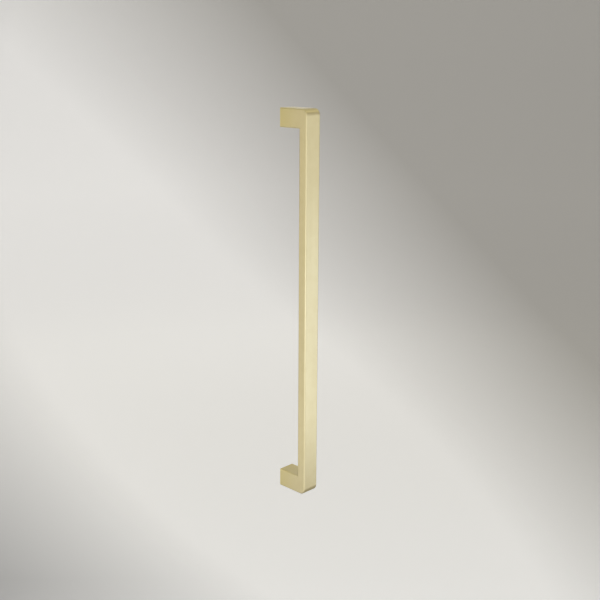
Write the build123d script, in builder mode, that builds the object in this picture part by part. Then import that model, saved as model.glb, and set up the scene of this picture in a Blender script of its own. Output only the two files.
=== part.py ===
from build123d import *
import os

# Square door pull handle with a hidden fixing.
# The grip bar and its two legs are one piece of brass. Each leg end has a milled pocket, which slides over a
# fixing block that is screwed to the door, and a grub screw in the underside of the leg locks it there.
# X runs across the door, Y runs from the handle into the door and Z runs up the handle. The origin is on the
# face of the door, midway between the two legs. Sizes are in millimetres and angles in degrees.

os.makedirs("parts", exist_ok=True)

# Grip bar and legs
bar_width = 30.0
bar_thickness = 16.0
leg_height = 30.0
projection = 57.0
fixing_centres = 600.0
outer_corner_radius = 10.0
inner_corner_radius = 1.0
edge_radius = 2.0

# Pocket in the end of each leg
pocket_wall = 5.0
pocket_depth = 12.5
pocket_corner_radius = 3.0
pocket_mouth_break = 0.5

# Fixing block in the pocket
block_side_gap = 0.2
block_floor_gap = 0.5
block_lead_in = 0.8
screw_pitch = 10.0
screws_per_block = 2
screw_hole_radius = 2.25
screw_head_radius = 4.5
screw_head_angle = 90.0

# Grub screw in the underside of each leg
grub_radius = 2.5
grub_recess = 0.5
grub_end_break = 0.4
grub_point_radius = 0.3
grub_point_seat = 1.3
grub_point_gap = 0.1
thread_gap = 0.05
thread_mouth_break = 0.4
thread_mouth_angle = 90.0
key_sides = 6
key_across_flats = 2.5
key_depth = 2.5

# Places and sizes that follow from these
overall_height = fixing_centres + leg_height
finger_height = fixing_centres - leg_height
finger_depth = projection - bar_thickness
pocket_width = bar_width - 2 * pocket_wall
pocket_height = leg_height - 2 * pocket_wall
block_width = pocket_width - 2 * block_side_gap
block_height = pocket_height - 2 * block_side_gap
block_depth = pocket_depth - block_floor_gap
grub_line = -block_depth / 2
grub_reach = pocket_wall + block_side_gap + grub_point_seat
grub_length = grub_reach - grub_recess
leg_centres = {"upper": fixing_centres / 2, "lower": -fixing_centres / 2}

# The handle: a staple-shaped side view, as wide as the bar
with BuildPart() as pull_body:
    with BuildSketch(Plane.YZ) as side_view:
        Rectangle(projection, overall_height, align=(Align.MAX, Align.CENTER))
        Rectangle(
            finger_depth,
            finger_height,
            align=(Align.MAX, Align.CENTER),
            mode=Mode.SUBTRACT,
        )
        fillet(side_view.vertices().group_by(Axis.X)[1], inner_corner_radius)
        fillet(side_view.vertices().group_by(Axis.X)[0], outer_corner_radius)
    extrude(amount=bar_width / 2, both=True)

    # A pocket in each leg end, with the corners that a milling cutter leaves
    with BuildSketch(Plane.XZ):
        with Locations(*[(0, leg_centre) for leg_centre in leg_centres.values()]):
            RectangleRounded(pocket_width, pocket_height, pocket_corner_radius)
    extrude(amount=pocket_depth, mode=Mode.SUBTRACT)
    leg_ends = pull_body.faces().sort_by(Axis.Y)[-2:]
    mouth_edges = [edge for end in leg_ends for edge in end.inner_wires()[0].edges()]
    chamfer(mouth_edges, pocket_mouth_break)

    # Every edge of both side faces is eased, apart from the ends that stand on the door
    faces_across = pull_body.faces().group_by(Axis.X)
    side_edges = (faces_across[0] + faces_across[-1]).edges()
    fillet(side_edges.filter_by(lambda edge: edge.center().Y < 0), edge_radius)

    # A tapped hole up through the lower wall of each pocket
    for leg_centre in leg_centres.values():
        with Locations(Plane((0, grub_line, leg_centre - leg_height / 2), z_dir=(0, 0, -1))):
            CounterSinkHole(
                grub_radius + thread_gap,
                grub_radius + thread_gap + thread_mouth_break,
                depth=leg_height / 2,
                counter_sink_angle=thread_mouth_angle,
            )

pull_body.part.label = "pull_body"
export_step(pull_body.part, "parts/pull_body.step")

for leg, leg_centre in leg_centres.items():
    leg_underside = leg_centre - leg_height / 2
    block_underside = leg_centre - block_height / 2
    block_face = Plane((0, -block_depth, leg_centre), x_dir=(1, 0, 0), z_dir=(0, -1, 0))

    # The block that the leg slides over, with two screws into the door and a seat for the grub screw
    with BuildPart() as fixing_block:
        with BuildSketch(Plane.XZ):
            with Locations((0, leg_centre)):
                RectangleRounded(
                    block_width, block_height, pocket_corner_radius - block_side_gap
                )
        extrude(amount=block_depth)
        chamfer(fixing_block.faces().sort_by(Axis.Y)[0].edges(), block_lead_in)
        with Locations(block_face):
            with GridLocations(screw_pitch, screw_pitch, screws_per_block, 1):
                CounterSinkHole(
                    screw_hole_radius,
                    screw_head_radius,
                    counter_sink_angle=screw_head_angle,
                )
        with Locations((0, grub_line, block_underside)):
            Cone(
                grub_point_radius + grub_point_seat + grub_point_gap,
                grub_point_radius,
                grub_point_seat + grub_point_gap,
                align=(Align.CENTER, Align.CENTER, Align.MIN),
                mode=Mode.SUBTRACT,
            )
    fixing_block.part.label = f"{leg}_fixing_block"
    export_step(fixing_block.part, f"parts/{leg}_fixing_block.step")

    # The grub screw: a pointed end in the block's seat, and a hexagonal socket in the other
    socket_plane = Plane((0, grub_line, leg_underside + grub_recess))
    with BuildPart() as grub_screw:
        with BuildSketch(socket_plane):
            Circle(grub_radius)
        extrude(amount=grub_length)
        ends = grub_screw.edges().filter_by(GeomType.CIRCLE).sort_by(Axis.Z)
        chamfer(ends[-1], grub_radius - grub_point_radius)
        chamfer(ends[0], grub_end_break)
        with BuildSketch(socket_plane):
            RegularPolygon(key_across_flats / 2, key_sides, major_radius=False)
        extrude(amount=key_depth, mode=Mode.SUBTRACT)
    grub_screw.part.label = f"{leg}_grub_screw"
    export_step(grub_screw.part, f"parts/{leg}_grub_screw.step")
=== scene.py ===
# %% [markdown]
# A square door pull handle in satin brass, on a studio sweep
#
# The handle is one bar of brass with two legs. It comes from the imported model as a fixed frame, with its
# fixing blocks and grub screws, and this file gives it its finish, a studio, light and a camera. Everything
# is in metres: X runs across the door, Y runs from the handle into the door, and Z runs up the handle.

# %% Load the handle
import math

import bmesh
import bpy
from mathutils import Matrix, Vector


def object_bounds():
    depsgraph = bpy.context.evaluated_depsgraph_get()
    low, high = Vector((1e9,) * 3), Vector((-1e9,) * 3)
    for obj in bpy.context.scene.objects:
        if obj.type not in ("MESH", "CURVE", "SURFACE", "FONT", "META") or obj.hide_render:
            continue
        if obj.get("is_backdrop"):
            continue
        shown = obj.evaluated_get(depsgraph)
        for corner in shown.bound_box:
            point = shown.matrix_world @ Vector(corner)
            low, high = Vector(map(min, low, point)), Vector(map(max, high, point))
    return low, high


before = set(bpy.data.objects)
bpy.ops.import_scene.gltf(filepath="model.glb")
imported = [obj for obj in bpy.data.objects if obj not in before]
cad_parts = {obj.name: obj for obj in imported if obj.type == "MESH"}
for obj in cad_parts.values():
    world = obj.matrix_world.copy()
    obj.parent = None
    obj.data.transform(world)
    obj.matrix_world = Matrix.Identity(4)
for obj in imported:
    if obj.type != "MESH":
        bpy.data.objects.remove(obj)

mm_per_metre = 1000
cad_low, cad_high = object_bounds()
print("pieces:", sorted(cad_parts))
print("handle is", [round(size * mm_per_metre, 1) for size in cad_high - cad_low], "mm")

# %% [markdown]
# The camera
#
# The handle is seen from its left front and from a little above. A camera is easiest to place as it would
# be on a tripod: a point that it aims at, a direction to stand in, a height angle, a distance and a slight
# roll. Its matrix is a turn about Z, then a tilt about X, then the roll about its own axis.

# %% Set up the camera
camera_turn = math.radians(-45.48)
camera_height_angle = math.radians(14.78)
camera_roll = math.radians(0.294)
camera_distance = 1.578
camera_aim = Vector((0.0163, -0.0142, 0.0065))
camera_lens = 58.23
camera_sensor = 36.0
nearest_seen = 0.05
farthest_seen = 60.0

camera_data = bpy.data.cameras.new("studio_camera")
camera_data.lens = camera_lens
camera_data.sensor_width = camera_sensor
camera_data.clip_start = nearest_seen
camera_data.clip_end = farthest_seen
camera = bpy.data.objects.new("studio_camera", camera_data)
bpy.context.scene.collection.objects.link(camera)
camera_facing = (
    Matrix.Rotation(camera_turn, 4, "Z")
    @ Matrix.Rotation(math.pi / 2 - camera_height_angle, 4, "X")
    @ Matrix.Rotation(camera_roll, 4, "Z")
)
camera.matrix_world = (
    Matrix.Translation(camera_aim) @ camera_facing @ Matrix.Translation((0, 0, camera_distance))
)
bpy.context.scene.camera = camera
print("camera stands at", [round(place, 3) for place in camera.matrix_world.translation])

# %% [markdown]
# Small helpers for building materials
#
# A material is a graph of nodes, and most of the work is adding a node, setting its inputs and joining its
# outputs. One helper does all three: a value that is a socket is linked, and any other value is set. The
# shaders below then read as a list of what feeds what.


# %% Helpers for node trees
def add_node(tree, kind, settings=None, **inputs):
    """Adds a node. Settings are its properties, inputs are values or sockets by name, or by number as _0."""
    node = tree.nodes.new(kind)
    for name, value in (settings or {}).items():
        setattr(node, name, value)
    for name, value in inputs.items():
        socket = node.inputs[int(name[1:])] if name[0] == "_" else node.inputs[name.replace("_", " ")]
        if isinstance(value, bpy.types.NodeSocket):
            tree.links.new(value, socket)
        else:
            socket.default_value = value
    return node


def math_node(tree, operation, first, second=0.0, third=0.0):
    """One step of arithmetic on numbers or sockets."""
    node = add_node(
        tree, "ShaderNodeMath", {"operation": operation}, _0=first, _1=second, _2=third
    )
    return node.outputs[0]


def mix_value(tree, factor, first, second):
    """Two numbers mixed by a factor."""
    step = math_node(tree, "SUBTRACT", second, first)
    return math_node(tree, "MULTIPLY_ADD", step, factor, first)


def map_range(tree, value, low, high, new_low=0.0, new_high=1.0):
    """A value spread smoothly from one range to another, and held at the ends."""
    node = add_node(
        tree,
        "ShaderNodeMapRange",
        {"interpolation_type": "SMOOTHSTEP"},
        Value=value,
        From_Min=low,
        From_Max=high,
        To_Min=new_low,
        To_Max=new_high,
    )
    return node.outputs["Result"]


print("helpers for values ready")

# %% [markdown]
# Mixing colours
#
# A Mix node holds hidden sockets for every kind of value, and those of one kind share their names with the
# others. So its colour sockets are picked by their type. With the blend MULTIPLY it tints one colour by
# another.


# %% Helpers for colours and new materials
def mix_colour(tree, factor, first, second, blend="MIX"):
    """Two colours mixed by a factor."""
    node = tree.nodes.new("ShaderNodeMix")
    node.data_type = "RGBA"
    node.blend_type = blend
    sockets = {"Factor": factor, "A": first, "B": second}
    for socket in node.inputs:
        if socket.name in sockets and socket.type == ("VALUE" if socket.name == "Factor" else "RGBA"):
            value = sockets[socket.name]
            if isinstance(value, bpy.types.NodeSocket):
                tree.links.new(value, socket)
            else:
                socket.default_value = value
    return next(socket for socket in node.outputs if socket.type == "RGBA")


def new_material(name):
    """An empty material with only its output node."""
    material = bpy.data.materials.new(name)
    material.use_nodes = True
    material.node_tree.nodes.clear()
    output = material.node_tree.nodes.new("ShaderNodeOutputMaterial")
    return material, material.node_tree, output


print("helpers for colours ready")

# %% [markdown]
# The brushed grain
#
# Satin brass is polished first and then drawn along an abrasive belt, which leaves fine scratches that all
# run one way. On the flat sides they run up the handle. On the front, the ends and the rounded corners they
# follow the belt over the bar. Noise that is stretched along the scratches makes both: one noise for the
# sides, which changes quickly along Y, one for the rest, which changes quickly along X. The surface's own
# direction chooses between them.

# %% Amounts of the grain
grain_amounts = {"Scratches per metre": 3000.0, "Scratch stretch": 90.0, "Bands per metre": 180.0}
scratch_detail = 4.0
band_detail = 2.0
streak_roughness = 0.6
side_facing = (0.55, 0.85)
rounding_levels = (0.02, 0.2)
print("grain amounts:", grain_amounts)

# %% [markdown]
# The grain as one group
#
# Every metal of the handle has a grain, so it is built once, as a node group. It gives out a height for the
# bump, a soft tone and a mask of the rounded edges, and each metal uses it with its own amounts.


# %% The grain as a node group
def brushed_grain_group():
    """Brushed scratches that follow the belt, softer bands, and a mask of the rounded edges."""
    group = bpy.data.node_groups.new("brushed_grain", "ShaderNodeTree")
    for name, value in grain_amounts.items():
        socket = group.interface.new_socket(name, in_out="INPUT", socket_type="NodeSocketFloat")
        socket.default_value = value
    for name in ("Height", "Bands", "Edge"):
        group.interface.new_socket(name, in_out="OUTPUT", socket_type="NodeSocketFloat")
    given = group.nodes.new("NodeGroupInput")
    result = group.nodes.new("NodeGroupOutput")
    place = group.nodes.new("ShaderNodeTexCoord")
    xyz = add_node(group, "ShaderNodeSeparateXYZ", Vector=place.outputs["Object"])
    facing = add_node(group, "ShaderNodeSeparateXYZ", Vector=place.outputs["Normal"])
    sideways = math_node(group, "ABSOLUTE", facing.outputs["X"])
    on_side = map_range(group, sideways, *side_facing)

    def streaks(across, scale, detail):
        """Noise that is long along the belt: across is the coordinate that it changes quickly along."""
        slow = math_node(group, "DIVIDE", scale, given.outputs["Scratch stretch"])
        stretched = add_node(
            group,
            "ShaderNodeCombineXYZ",
            X=math_node(group, "MULTIPLY", across, scale),
            Y=math_node(group, "MULTIPLY", xyz.outputs["Z"], slow),
            Z=0.0,
        )
        noise = add_node(
            group,
            "ShaderNodeTexNoise",
            {"noise_dimensions": "3D"},
            Vector=stretched.outputs[0],
            Scale=1.0,
            Detail=detail,
            Roughness=streak_roughness,
        )
        return noise.outputs[0]

    def by_face(scale, detail):
        """Streaks across Y on the two sides, and across X on every other face."""
        over_bar = streaks(xyz.outputs["X"], scale, detail)
        on_sides = streaks(xyz.outputs["Y"], scale, detail)
        return mix_value(group, on_side, over_bar, on_sides)

    height = by_face(given.outputs["Scratches per metre"], scratch_detail)
    bands = by_face(given.outputs["Bands per metre"], band_detail)
    squared = math_node(group, "MULTIPLY", sideways, sideways)
    rounded = math_node(group, "MULTIPLY", squared, math_node(group, "SUBTRACT", 1.0, squared))
    group.links.new(height, result.inputs["Height"])
    group.links.new(bands, result.inputs["Bands"])
    group.links.new(map_range(group, rounded, *rounding_levels), result.inputs["Edge"])
    return group


brushed_grain = brushed_grain_group()
print("grain group has", len(brushed_grain.nodes), "nodes")

# %% [markdown]
# Satin brass
#
# The metal is a pale champagne brass under a thin clear lacquer. A Principled BSDF with Metallic at 1 takes
# its colour from Base Color, its sheen from Roughness and its lacquer from Coat. The colour is built up in
# layers, as the finish is: soft bands from the belt, lighter hairlines where it cut, faint cloudy patches of
# deeper tone, and lighter edges that the belt rubbed more. Next to the door the colour is painted a little
# deeper, as painted shade where the handle meets the door.

# %% Tones and amounts of the brass
brass_deep_band = (0.775, 0.67, 0.39, 1)
brass_pale_band = (0.83, 0.725, 0.43, 1)
brass_hairline = (0.85, 0.75, 0.46, 1)
brass_cloud = (0.765, 0.655, 0.365, 1)
brass_rubbed = (0.88, 0.79, 0.50, 1)
# Painted shade: the deeper tone towards the door end, where the handle meets the door.
brass_painted_door_shade = (0.79, 0.68, 0.32, 1)

hairline_levels = (0.35, 0.65)
hairline_share = 0.35
cloud_scale = 65.0
cloud_detail = 2.0
cloud_levels = (0.42, 0.68)
cloud_share = 0.35
rubbed_share = 0.35
# How far from the door the painted shade reaches, and how strongly it deepens the colour.
door_shade_reach = (-0.042, 0.0)
door_shade_share = 0.7
print("brass tones run from", brass_cloud[:3], "to", brass_rubbed[:3])

# %% [markdown]
# The sheen of the brass
#
# The scratches go through a Bump node, which tilts the surface for the light without changing its shape.
# Brushed metal also spreads light more across its scratches than along them, which Anisotropic does, and the
# rounded edges are smoother than the flat faces.

# %% The brass material
band_levels = (0.3, 0.7)
brass_roughness = (0.31, 0.37)
rubbed_roughness = 0.29
scratch_strength = 0.3
scratch_depth = 0.00002
brushed_spread = 0.2
lacquer_share = 0.2
lacquer_roughness = 0.25


def satin_brass():
    """Brushed, lacquered champagne brass."""
    material, tree, output = new_material("satin_brass")
    grain = tree.nodes.new("ShaderNodeGroup")
    grain.node_tree = brushed_grain
    height, bands, edge = (grain.outputs[name] for name in ("Height", "Bands", "Edge"))
    place = tree.nodes.new("ShaderNodeTexCoord").outputs["Object"]
    xyz = add_node(tree, "ShaderNodeSeparateXYZ", Vector=place)
    clouds = add_node(tree, "ShaderNodeTexNoise", Vector=place, Scale=cloud_scale, Detail=cloud_detail)

    in_hairlines = map_range(tree, height, *hairline_levels, 0.0, hairline_share)
    in_clouds = map_range(tree, clouds.outputs[0], *cloud_levels, 0.0, cloud_share)
    on_edges = math_node(tree, "MULTIPLY", edge, rubbed_share)
    # Painted shade that deepens the colour towards the door end.
    painted_door_shade = math_node(
        tree, "MULTIPLY", map_range(tree, xyz.outputs["Y"], *door_shade_reach), door_shade_share
    )
    banded = mix_colour(tree, bands, brass_deep_band, brass_pale_band)
    lined = mix_colour(tree, in_hairlines, banded, brass_hairline)
    clouded = mix_colour(tree, in_clouds, lined, brass_cloud)
    rubbed = mix_colour(tree, on_edges, clouded, brass_rubbed)
    toned = mix_colour(tree, painted_door_shade, rubbed, brass_painted_door_shade)

    face_roughness = map_range(tree, bands, *band_levels, *brass_roughness)
    bump = add_node(
        tree, "ShaderNodeBump", Strength=scratch_strength, Distance=scratch_depth, Height=height
    )
    shader = add_node(
        tree,
        "ShaderNodeBsdfPrincipled",
        Base_Color=toned,
        Metallic=1.0,
        Roughness=mix_value(tree, edge, face_roughness, rubbed_roughness),
        Normal=bump.outputs[0],
        Anisotropic=brushed_spread,
        Coat_Weight=lacquer_share,
        Coat_Roughness=lacquer_roughness,
    )
    tree.links.new(shader.outputs[0], output.inputs["Surface"])
    return material


brass = satin_brass()
print("brass has", len(brass.node_tree.nodes), "nodes")

# %% [markdown]
# The hidden metals
#
# The fixing blocks are machined steel with a zinc plating, which is cool grey with faint cloudy patches, and
# a milling cutter has left wide arcs on their faces. The grub screws are plain stainless steel, turned on a
# lathe, so their marks are small rings. Both marks are a Wave texture in rings: a Mapping node sets its
# centre, half a metre away for the arcs and on the screw's own axis for the rings. A Wave texture goes
# through 20 radians of its wave in each unit of length, and its Scale makes that the right spacing. The
# grain group adds fainter scratches. So the two metals differ only in their colours, in the amounts and in
# where their rings are centred.

# %% The steel materials
steel_grain = {"Scratches per metre": 2500.0, "Scratch stretch": 12.0}
steel_cloud_detail = 3.0
steel_cloud_levels = (0.35, 0.65)
steel_roughness_levels = (0.3, 0.7)
steel_roughness_swing = 0.04
mark_share = 0.3
grain_in_marks = 0.4
mark_strength = 0.25
mark_depth = 0.00003
wave_radians_per_unit = 20.0


def plain_steel(name, light, dark, roughness, cloud_scale, mark_axis, mark_centre, mark_spacing):
    """A machined steel with cloudy patches between two tones, and tool marks in rings about an axis."""
    material, tree, output = new_material(name)
    grain = tree.nodes.new("ShaderNodeGroup")
    grain.node_tree = brushed_grain
    for amount, value in steel_grain.items():
        grain.inputs[amount].default_value = value
    place = tree.nodes.new("ShaderNodeTexCoord").outputs["Object"]
    clouds = add_node(
        tree, "ShaderNodeTexNoise", Vector=place, Scale=cloud_scale, Detail=steel_cloud_detail
    ).outputs[0]
    centred = add_node(
        tree, "ShaderNodeMapping", Vector=place, Location=[-along for along in mark_centre]
    )
    marks = add_node(
        tree,
        "ShaderNodeTexWave",
        {"wave_type": "RINGS", "rings_direction": mark_axis},
        Vector=centred.outputs[0],
        Scale=2 * math.pi / (wave_radians_per_unit * mark_spacing),
    ).outputs["Fac"]
    cloudy = mix_colour(tree, map_range(tree, clouds, *steel_cloud_levels), dark, light)
    in_marks = map_range(tree, marks, 0.0, 1.0, 0.0, mark_share)
    rough_low, rough_high = roughness - steel_roughness_swing, roughness + steel_roughness_swing
    height = math_node(tree, "MULTIPLY_ADD", grain.outputs["Height"], grain_in_marks, marks)
    bump = add_node(tree, "ShaderNodeBump", Strength=mark_strength, Distance=mark_depth, Height=height)
    shader = add_node(
        tree,
        "ShaderNodeBsdfPrincipled",
        Base_Color=mix_colour(tree, in_marks, cloudy, dark),
        Metallic=1.0,
        Roughness=map_range(tree, clouds, *steel_roughness_levels, rough_low, rough_high),
        Normal=bump.outputs[0],
    )
    tree.links.new(shader.outputs[0], output.inputs["Surface"])
    return material


zinc = plain_steel(
    "zinc_plated_steel",
    light=(0.68, 0.69, 0.71, 1),
    dark=(0.56, 0.57, 0.60, 1),
    roughness=0.36,
    cloud_scale=260.0,
    mark_axis="Y",
    mark_centre=(0.5, 0.0, 0.0),
    mark_spacing=0.0008,
)
stainless = plain_steel(
    "stainless_steel",
    light=(0.60, 0.60, 0.61, 1),
    dark=(0.50, 0.50, 0.51, 1),
    roughness=0.30,
    cloud_scale=400.0,
    mark_axis="Z",
    mark_centre=(0.0, -0.006, 0.0),
    mark_spacing=0.0003,
)
print("steels made:", zinc.name, stainless.name)

# %% [markdown]
# Finishes on the pieces
#
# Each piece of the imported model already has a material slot, so its finish is changed by putting the new
# material into that slot. Nothing is moved and no mesh is touched.

# %% Put the finishes on
for node_name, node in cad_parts.items():
    finish = brass if node_name == "pull_body" else stainless if "grub_screw" in node_name else zinc
    for slot in node.material_slots:
        slot.material = finish
    print(node_name, "is", finish.name)

# %% [markdown]
# The studio sweep
#
# A product is photographed on a sweep, where floor and wall meet in a wide curve and no corner shows. Here
# the sweep goes all round the handle, so every view has it. It is a few points of one profile, with the
# curve made by a spin of its last point, and then a full spin of that profile about Z.

# %% Build the sweep
floor_drop = 0.485
floor_level = cad_low.z - floor_drop
floor_radius = 2.6
sweep_radius = 1.1
wall_top = 2.0
sweep_steps = 16
round_steps = 96
merge_distance = 0.0005

sweep_mesh = bmesh.new()
floor_centre = sweep_mesh.verts.new((0, 0, floor_level))
floor_end = sweep_mesh.verts.new((floor_radius, 0, floor_level))
sweep_mesh.edges.new((floor_centre, floor_end))
curved = bmesh.ops.spin(
    sweep_mesh,
    geom=[floor_end],
    cent=(floor_radius, 0, floor_level + sweep_radius),
    axis=(0, 1, 0),
    angle=-math.pi / 2,
    steps=sweep_steps,
)
curve_end = [item for item in curved["geom_last"] if isinstance(item, bmesh.types.BMVert)][0]
wall = bmesh.ops.extrude_vert_indiv(sweep_mesh, verts=[curve_end])
bmesh.ops.translate(
    sweep_mesh, verts=wall["verts"], vec=(0, 0, wall_top - floor_level - sweep_radius)
)
bmesh.ops.spin(
    sweep_mesh,
    geom=sweep_mesh.verts[:] + sweep_mesh.edges[:],
    cent=(0, 0, 0),
    axis=(0, 0, 1),
    angle=2 * math.pi,
    steps=round_steps,
    use_merge=True,
)
bmesh.ops.remove_doubles(sweep_mesh, verts=sweep_mesh.verts, dist=merge_distance)
bmesh.ops.recalc_face_normals(sweep_mesh, faces=sweep_mesh.faces)
for face in sweep_mesh.faces:
    face.smooth = True
sweep_data = bpy.data.meshes.new("studio_sweep")
sweep_mesh.to_mesh(sweep_data)
sweep_mesh.free()
sweep = bpy.data.objects.new("studio_sweep", sweep_data)
bpy.context.scene.collection.objects.link(sweep)
sweep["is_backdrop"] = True
sweep_low = min(vertex.co.z for vertex in sweep_data.vertices)
print("sweep has", len(sweep_data.polygons), "faces, and its floor is at", round(sweep_low, 3))

# %% [markdown]
# The colour of the sweep
#
# The sweep is a matt off-white with painted shade that falls off softly to grey: behind the handle its
# colour is painted darker towards the upper right and towards the near left, as a backdrop dims at the edges
# of its light. Both falloffs turn about one point over the handle, like the edges of a lamp's beam. The
# floor is painted a little darker than the wall, as painted shade, and the wall at the left back, which the
# handle's side mirrors, is slightly warmer. A falloff is a dot product: it grows evenly as a place, or the
# direction to it, lies further along a given direction.

# %% Tones and falloffs of the sweep
pale_tone = (0.752, 0.746, 0.754, 1)
# The two greys below are painted shade, which the sweep darkens to towards the edges of the light.
right_painted_shade = (0.368, 0.357, 0.343, 1)
left_painted_shade = (0.273, 0.271, 0.277, 1)
# Painted shade: the floor is painted a little darker than the wall.
floor_painted_shade = (0.915, 0.915, 0.915, 1)
warm_share = (1.0, 0.985, 0.915, 1)
no_change = (1, 1, 1, 1)

beam_point = (0.0, 0.0, 0.656)
right_falloff = {"direction": (0.487, -0.541, 0.686), "start": -0.357, "end": -0.075}
left_falloff = {"direction": (-0.972, -0.012, 0.235), "start": -0.406, "end": -0.065}
behind_falloff = {"direction": (0.707, 0.707, 0.0), "start": -0.3, "end": 0.5}
floor_falloff = {"direction": (0.0, 0.0, 1.0), "start": -0.806, "end": -0.318}
warm_falloff = {"direction": (-0.707, 0.707, 0.0), "start": 1.6, "end": 3.2}


def falloff_along(tree, place, direction, start, end):
    """A value that rises evenly from 0 to 1 as a vector points further along a direction."""
    along = add_node(tree, "ShaderNodeVectorMath", {"operation": "DOT_PRODUCT"}, _0=place, _1=direction)
    return add_node(
        tree, "ShaderNodeMapRange", Value=along.outputs["Value"], From_Min=start, From_Max=end
    ).outputs["Result"]


def sweep_tone(tree, place):
    """The colour of the sweep at a place, with its painted shade."""
    from_beam = add_node(
        tree, "ShaderNodeVectorMath", {"operation": "SUBTRACT"}, _0=place, _1=beam_point
    )
    beam = add_node(
        tree, "ShaderNodeVectorMath", {"operation": "NORMALIZE"}, _0=from_beam.outputs[0]
    ).outputs[0]
    behind = falloff_along(tree, place, **behind_falloff)
    # Painted shade: the colour darkens towards the upper right and the near left, and on the floor.
    to_right = math_node(tree, "MULTIPLY", falloff_along(tree, beam, **right_falloff), behind)
    to_left = math_node(tree, "MULTIPLY", falloff_along(tree, beam, **left_falloff), behind)
    darker_left = mix_colour(tree, to_left, pale_tone, left_painted_shade)
    across = mix_colour(tree, to_right, darker_left, right_painted_shade)
    by_height = mix_colour(tree, falloff_along(tree, place, **floor_falloff), floor_painted_shade, no_change)
    warmth = mix_colour(tree, falloff_along(tree, place, **warm_falloff), no_change, warm_share)
    darker_floor = mix_colour(tree, 1.0, across, by_height, "MULTIPLY")
    return mix_colour(tree, 1.0, darker_floor, warmth, "MULTIPLY")


print("sweep tones run from", pale_tone[:3], "to", left_painted_shade[:3])

# %% [markdown]
# The glow of the sweep
#
# For camera rays and reflected rays the sweep also glows a little, which makes it pale without more light on
# the brass. In reflections the glow fades under the handle, where its shadow would be. The matt part still
# takes its shadow. Light Path tells the shader which kind of ray has arrived.

# %% Colour the sweep
glow_strength = 0.59
shade_centre = (0.30, -0.12, floor_level)
shade_inner = 0.35
shade_outer = 1.0


def pale_sweep():
    """Matt off-white with soft falloffs, and a glow for camera, glossy and transmission rays."""
    material, tree, output = new_material("pale_sweep")
    place = tree.nodes.new("ShaderNodeTexCoord").outputs["Object"]
    toned = sweep_tone(tree, place)
    rays = tree.nodes.new("ShaderNodeLightPath").outputs
    from_shade = add_node(
        tree, "ShaderNodeVectorMath", {"operation": "DISTANCE"}, _0=place, _1=shade_centre
    ).outputs["Value"]
    past_shade = map_range(tree, from_shade, shade_inner, shade_outer)
    open_floor = math_node(tree, "MAXIMUM", past_shade, rays["Is Camera Ray"])
    mirrored = math_node(tree, "MAXIMUM", rays["Is Glossy Ray"], rays["Is Transmission Ray"])
    seen = math_node(tree, "MAXIMUM", rays["Is Camera Ray"], mirrored)
    glow_level = math_node(tree, "MULTIPLY", math_node(tree, "MULTIPLY", seen, open_floor), glow_strength)
    matt = add_node(tree, "ShaderNodeBsdfDiffuse", Color=toned, Roughness=1.0)
    glow = add_node(tree, "ShaderNodeEmission", Color=toned, Strength=glow_level)
    both = add_node(tree, "ShaderNodeAddShader", _0=matt.outputs[0], _1=glow.outputs[0])
    tree.links.new(both.outputs[0], output.inputs["Surface"])
    return material


sweep_data.materials.append(pale_sweep())
print("sweep coloured, its glow is", glow_strength)

# %% [markdown]
# The ceiling
#
# Metal shows its surroundings, so a satin handle is lit by large soft surfaces. The largest is the ceiling
# of the studio, which is dim and warm, and the world stands in for it.

# %% The world
ceiling_strength = 0.55
warm_ceiling = (0.95, 0.91, 0.71, 1)

world = bpy.data.worlds.new("studio_ceiling")
bpy.context.scene.world = world
world.use_nodes = True
world.node_tree.nodes.clear()
world_output = world.node_tree.nodes.new("ShaderNodeOutputWorld")
ceiling = add_node(world.node_tree, "ShaderNodeBackground", Color=warm_ceiling, Strength=ceiling_strength)
world.node_tree.links.new(ceiling.outputs[0], world_output.inputs["Surface"])
print("ceiling strength is", ceiling_strength)

# %% [markdown]
# Softboxes
#
# The other large surfaces are softboxes: rectangular lamps that stand round the handle. Each is turned
# towards a point and isn't seen by the camera. The ones that stand low have a grid on them, which narrows
# their beam, so that they draw no bright line on the floor below.


# %% Helpers for lamps
neutral_light = (1.0, 1.0, 1.0)
open_beam = math.radians(180)
grid_beam = math.radians(140)


def standing(turn, distance, height):
    """A place round the handle, with its turn from the front to the right in degrees."""
    angle = math.radians(turn)
    return Vector((distance * math.sin(angle), -distance * math.cos(angle), height))


def softbox(name, place, aim, size, watts, colour=neutral_light, beam=open_beam):
    """A rectangular lamp that the camera doesn't see, turned towards a point."""
    lamp_data = bpy.data.lights.new(name, "AREA")
    lamp_data.shape = "RECTANGLE"
    lamp_data.size, lamp_data.size_y = size
    lamp_data.energy = watts
    lamp_data.color = colour
    lamp_data.spread = beam
    lamp = bpy.data.objects.new(name, lamp_data)
    bpy.context.scene.collection.objects.link(lamp)
    lamp.location = place
    lamp.rotation_euler = (Vector(aim) - Vector(place)).to_track_quat("-Z", "Y").to_euler()
    lamp.visible_camera = False
    return lamp


print("a gridded softbox shines over", round(math.degrees(grid_beam)), "degrees")

# %% [markdown]
# Lamps that the front mirrors
#
# From the camera, the front of the bar mirrors what stands at its right front. Two cool softboxes stand
# there, a low one and a higher one behind it. A small one near the floor lights the foot of the bar, and a
# warm strip hangs high over them.

# %% Lamps at the right front
cool_light = (0.69, 0.78, 1.0)
soft_cool_light = (0.87, 0.93, 1.0)
warm_light = (1.0, 0.93, 0.75)
front_right = 45

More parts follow.
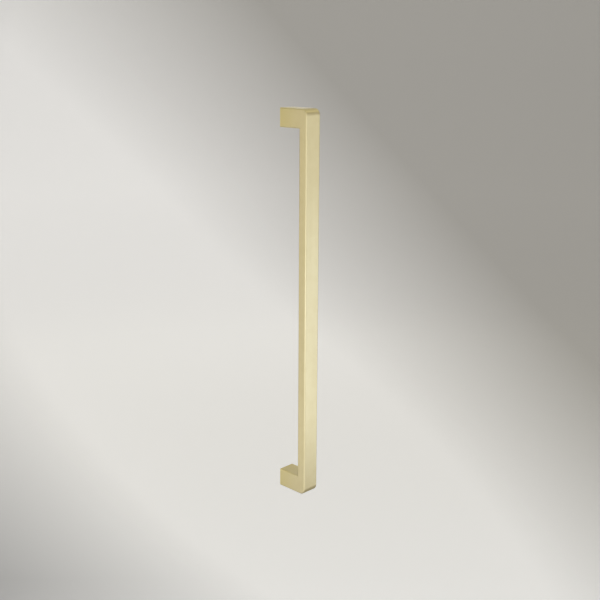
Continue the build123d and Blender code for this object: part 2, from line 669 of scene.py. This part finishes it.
softbox(
    "front_upright",
    place=standing(front_right, distance=1.7, height=-0.45),
    aim=(0, 0, -0.1),
    size=(1.0, 0.62),
    watts=1.0,
    colour=cool_light,
    beam=grid_beam,
)
softbox(
    "front_high",
    place=standing(front_right, distance=2.3, height=0.1),
    aim=(0, 0, 0.1),
    size=(1.2, 0.7),
    watts=1.1,
    colour=soft_cool_light,
)
softbox(
    "front_low",
    place=standing(front_right, distance=1.15, height=-0.65),
    aim=(0, 0, -0.2),
    size=(0.6, 0.22),
    watts=0.17,
    colour=cool_light,
    beam=grid_beam,
)
softbox(
    "front_sky",
    place=standing(front_right, distance=1.4, height=1.9),
    aim=(0, 0, 0.3),
    size=(1.6, 0.3),
    watts=1.2,
    colour=warm_light,
)
print("lamps at the right front:", len(bpy.data.lights))

# %% [markdown]
# Lamps beside the camera, at the left and at the back
#
# The rounded edge between front and side mirrors the camera's own side, so two cool softboxes stand there
# and draw a bright line down the bar. The side of the handle mirrors the left, which is dimmer, with a small
# low lamp for the lower leg. A wide strip stands far back at the right, for the back of the handle.

# %% Lamps at the camera's side, the left and the back
camera_side = -45
left_back = 225
right_back = 135

softbox(
    "camera_upright",
    place=standing(camera_side, distance=1.7, height=-0.45),
    aim=(0, 0, -0.1),
    size=(2.0, 0.62),
    watts=2.1,
    colour=cool_light,
    beam=grid_beam,
)
softbox(
    "camera_high",
    place=standing(camera_side, distance=2.3, height=0.1),
    aim=(0, 0, 0.1),
    size=(1.2, 0.7),
    watts=1.0,
    colour=soft_cool_light,
)
softbox(
    "left_upright",
    place=standing(left_back, distance=2.0, height=-0.15),
    aim=(0, 0, 0),
    size=(1.6, 0.9),
    watts=0.4,
)
softbox(
    "left_low",
    place=standing(left_back, distance=1.15, height=-0.69),
    aim=(0, 0, -0.3),
    size=(0.6, 0.2),
    watts=0.055,
    beam=grid_beam,
)
softbox(
    "back_strip",
    place=standing(right_back, distance=3.2, height=0.6),
    aim=(0, 0, 0.3),
    size=(2.0, 0.35),
    watts=2.9,
)
print("lamps so far:", len(bpy.data.lights))

# %% [markdown]
# Lamps that wash the sweep
#
# These hang higher and face the sweep. The metal mirrors their soft pools on it, and not the lamps, which
# gives the wide smooth tones of satin brass.

# %% Wash lamps
softbox(
    "camera_wash",
    place=standing(camera_side, distance=1.2, height=0.75),
    aim=standing(camera_side, distance=2.0, height=floor_level),
    size=(2.2, 0.4),
    watts=14.5,
    colour=soft_cool_light,
)
softbox(
    "left_wash",
    place=standing(left_back, distance=2.0, height=0.9),
    aim=standing(left_back, distance=2.9, height=floor_level),
    size=(1.8, 0.4),
    watts=14.5,
)
softbox(
    "back_wash",
    place=standing(right_back, distance=2.0, height=0.9),
    aim=standing(right_back, distance=3.3, height=floor_level),
    size=(1.8, 0.4),
    watts=4.0,
)

# %% [markdown]
# Finish
#
# The view transform is Standard, so that colours show as they are written. The box of the imported model and
# the box of the dressed one are compared, to show that nothing has changed size.

# %% Hand the scene over
bpy.context.scene.view_settings.view_transform = "Standard"
same_place = 1e-6
look_low, look_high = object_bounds()
low_kept = (look_low - cad_low).length < same_place
high_kept = (look_high - cad_high).length < same_place
print("size kept:", low_kept and high_kept)
